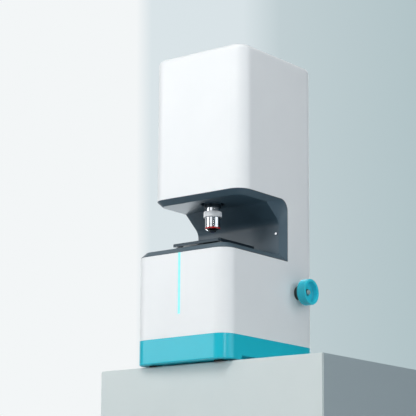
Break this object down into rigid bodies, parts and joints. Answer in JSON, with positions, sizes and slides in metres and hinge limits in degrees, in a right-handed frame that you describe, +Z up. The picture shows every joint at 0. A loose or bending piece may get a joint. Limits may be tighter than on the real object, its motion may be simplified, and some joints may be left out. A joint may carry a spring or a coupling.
{
  "type": "automatic cell counter",
  "caption": "Bench cell counter: C-shaped white housing with an open sample bay, an objective over a lifting stage, and a side focus knob.",
  "frame": {"origin": "middle of the body's footprint, on the plane that the feet stand on; the focus knob stands out of the right side and isn't counted", "axes": "+X to the instrument's right side, the knob's side; +Y to the back; +Z up"},
  "size_m": [0.1768, 0.2066, 0.432],
  "materials": {
    "white_abs": "fine matt",
    "teal_abs": "satin",
    "dark_grey_abs": "fine matt",
    "black_anodised": "satin",
    "black_plastic": "matt",
    "bright_steel": "polished",
    "red_enamel": "gloss",
    "clear_glass": "clear",
    "light_diffuser": "translucent",
    "aluminium": "machined",
    "ground_steel": "ground",
    "bronze": "oiled",
    "gear_acetal": "moulded",
    "gear_brass": "cut",
    "circuit_board": "solder mask",
    "rubber": "matt"
  },
  "bodies": {
    "body_frame": {"main_housing": "white_abs", "rear_cover": "white_abs", "base_plinth": "teal_abs", "bay_liner": "dark_grey_abs", "stage_deck": "dark_grey_abs", "objective_mount": "black_anodised", "objective_collar": "black_anodised", "objective_nose": "black_anodised", "tube_lens_barrel": "black_anodised", "condenser_tube": "black_anodised", "camera_body": "black_anodised", "knob_collar": "black_plastic", "switch_body": "black_plastic", "power_jack": "black_plastic", "objective_barrel": "bright_steel", "objective_knurled_ring": "bright_steel", "objective_colour_ring": "red_enamel", "objective_front_lens": "clear_glass", "tube_lens": "clear_glass", "condenser_lens": "clear_glass", "light_bar_diffuser": "light_diffuser", "light_source_led": "light_diffuser", "base_plate": "aluminium", "backbone_plate": "aluminium", "backbone_brackets": "aluminium", "head_arm": "aluminium", "rod_bridge": "aluminium", "gearbox_cheeks": "aluminium", "led_heat_sink": "aluminium", "processor_heat_sink": "aluminium", "guide_rods": "ground_steel", "rear_cover_screws": "ground_steel", "base_screws": "ground_steel", "liner_screws": "ground_steel", "board_standoffs": "ground_steel", "usb_socket": "ground_steel", "layshaft_bearings": "bronze", "shaft_bearing": "bronze", "main_board": "circuit_board", "camera_board": "circuit_board", "connector_board": "circuit_board", "light_source_board": "circuit_board", "light_bar_board": "circuit_board", "feet": "rubber"},
    "stage": {"stage_plate": "black_anodised", "slide_insert": "black_plastic", "stage_posts": "aluminium", "stage_carriage": "aluminium", "carriage_bushes": "bronze", "focus_rack": "gear_brass"},
    "focus_drive": {"focus_knob": "teal_abs", "focus_shaft": "ground_steel", "drive_pinion": "gear_brass", "knob_washer": "black_plastic", "knob_screw": "ground_steel"},
    "reduction_shaft": {"layshaft": "ground_steel", "reduction_gear": "gear_acetal", "rack_pinion": "gear_brass"},
    "switch_rocker": {"switch_rocker": "black_plastic"}
  },
  "joints": [
    {"name": "stage_lift", "type": "slide", "parent": "body_frame", "child": "stage", "axis": [0, 0, 1], "range_m": [0, 0.006]},
    {"name": "knob_turn", "type": "hinge", "parent": "body_frame", "child": "focus_drive", "pos_m": [0.077, 0.0595, 0.1062], "axis": [1, 0, 0], "range_deg": [0, 171.9]},
    {"name": "reduction_turn", "type": "hinge", "parent": "body_frame", "child": "reduction_shaft", "pos_m": [0, 0.0355, 0.1062], "axis": [1, 0, 0], "range_deg": [-57.3, 0]},
    {"name": "power_switch", "type": "hinge", "parent": "body_frame", "child": "switch_rocker", "pos_m": [0.032, 0.101, 0.062], "axis": [1, 0, 0], "range_deg": [0, 20]}
  ],
  "couplings": [
    {"joint": "knob_turn", "follows": "stage_lift", "rad_per_m": 500},
    {"joint": "reduction_turn", "follows": "stage_lift", "rad_per_m": -166.67}
  ]
}
